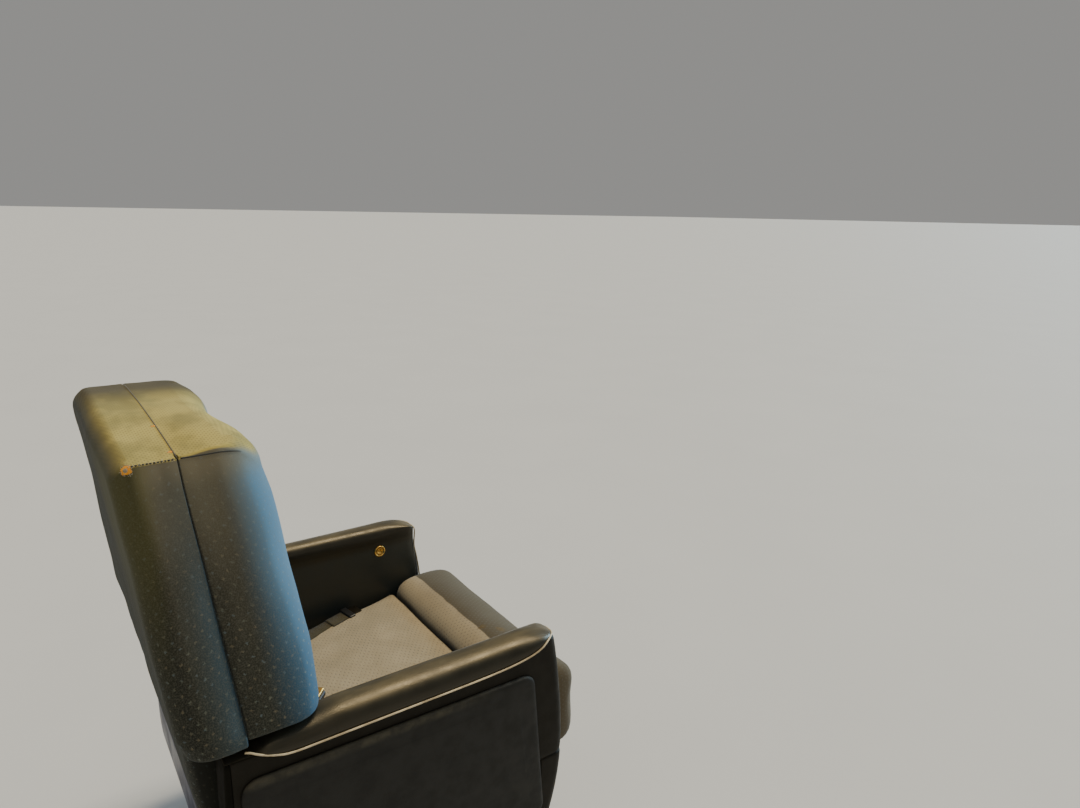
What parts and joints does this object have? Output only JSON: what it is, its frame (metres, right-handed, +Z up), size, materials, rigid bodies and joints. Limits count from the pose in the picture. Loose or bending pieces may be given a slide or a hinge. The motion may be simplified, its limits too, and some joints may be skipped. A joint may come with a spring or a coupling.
{
  "type": "airliner lounge armchair",
  "caption": "Upholstered cabin armchair with box arms, which swivels on a carpeted plinth and has a reclining back and a lap belt.",
  "frame": {"origin": "on the floor, at the middle of the seat's outline seen from above", "axes": "+Z up, the seat faces -Y, +X towards the occupant's left hand"},
  "size_m": [0.76, 0.884, 1.096],
  "materials": {
    "back_fabric": "woven wool blend with small pale dots",
    "cushion_fabric": "woven wool blend with small dark dashes",
    "leather": "semi-gloss, worn on the crowns",
    "panel_leather": "satin, padded",
    "brass": "polished",
    "frame_metal": "machined, satin",
    "rail_paint": "satin navy",
    "carpet": "ribbed loop pile",
    "webbing": "woven belt webbing",
    "black_plastic": "satin"
  },
  "bodies": {
    "base": {"plinth": "carpet", "plinth_plate": "frame_metal", "swivel_bearing": "frame_metal", "swivel_spindle": "frame_metal"},
    "seat": {"swivel_plate": "frame_metal", "seat_beam_left": "frame_metal", "seat_beam_right": "frame_metal", "seat_pan": "frame_metal", "front_panel": "leather", "rear_rail": "rail_paint", "rear_roll": "back_fabric", "arm_shell_left": "leather", "arm_shell_right": "leather", "arm_foot_left": "leather", "arm_foot_right": "leather", "arm_pad_left": "leather", "arm_pad_right": "leather", "arm_rear_roll_left": "leather", "arm_rear_roll_right": "leather", "side_panel_left": "panel_leather", "side_panel_right": "panel_leather", "control_ring_left": "brass", "control_ring_right": "brass", "control_button_left": "brass", "control_button_right": "brass", "seat_cushion": "cushion_fabric", "front_cushion": "cushion_fabric", "hinge_lug_left": "frame_metal", "hinge_lug_right": "frame_metal", "hinge_pin_left": "frame_metal", "hinge_pin_right": "frame_metal", "belt_left": "webbing", "belt_right": "webbing", "belt_tongue": "black_plastic", "belt_buckle": "brass", "belt_anchor_left": "frame_metal", "belt_anchor_right": "frame_metal"},
    "back": {"back_shell": "back_fabric", "back_cushion": "back_fabric", "hinge_bracket_left": "frame_metal", "hinge_bracket_right": "frame_metal"}
  },
  "joints": [
    {"name": "swivel", "type": "hinge", "parent": "base", "child": "seat", "pos_m": [0, 0, 0.12], "axis": [0, 0, 1], "range_deg": [-90, 90]},
    {"name": "recline", "type": "hinge", "parent": "seat", "child": "back", "pos_m": [0, 0.326, 0.306], "axis": [-1, 0, 0], "range_deg": [0, 28]}
  ]
}
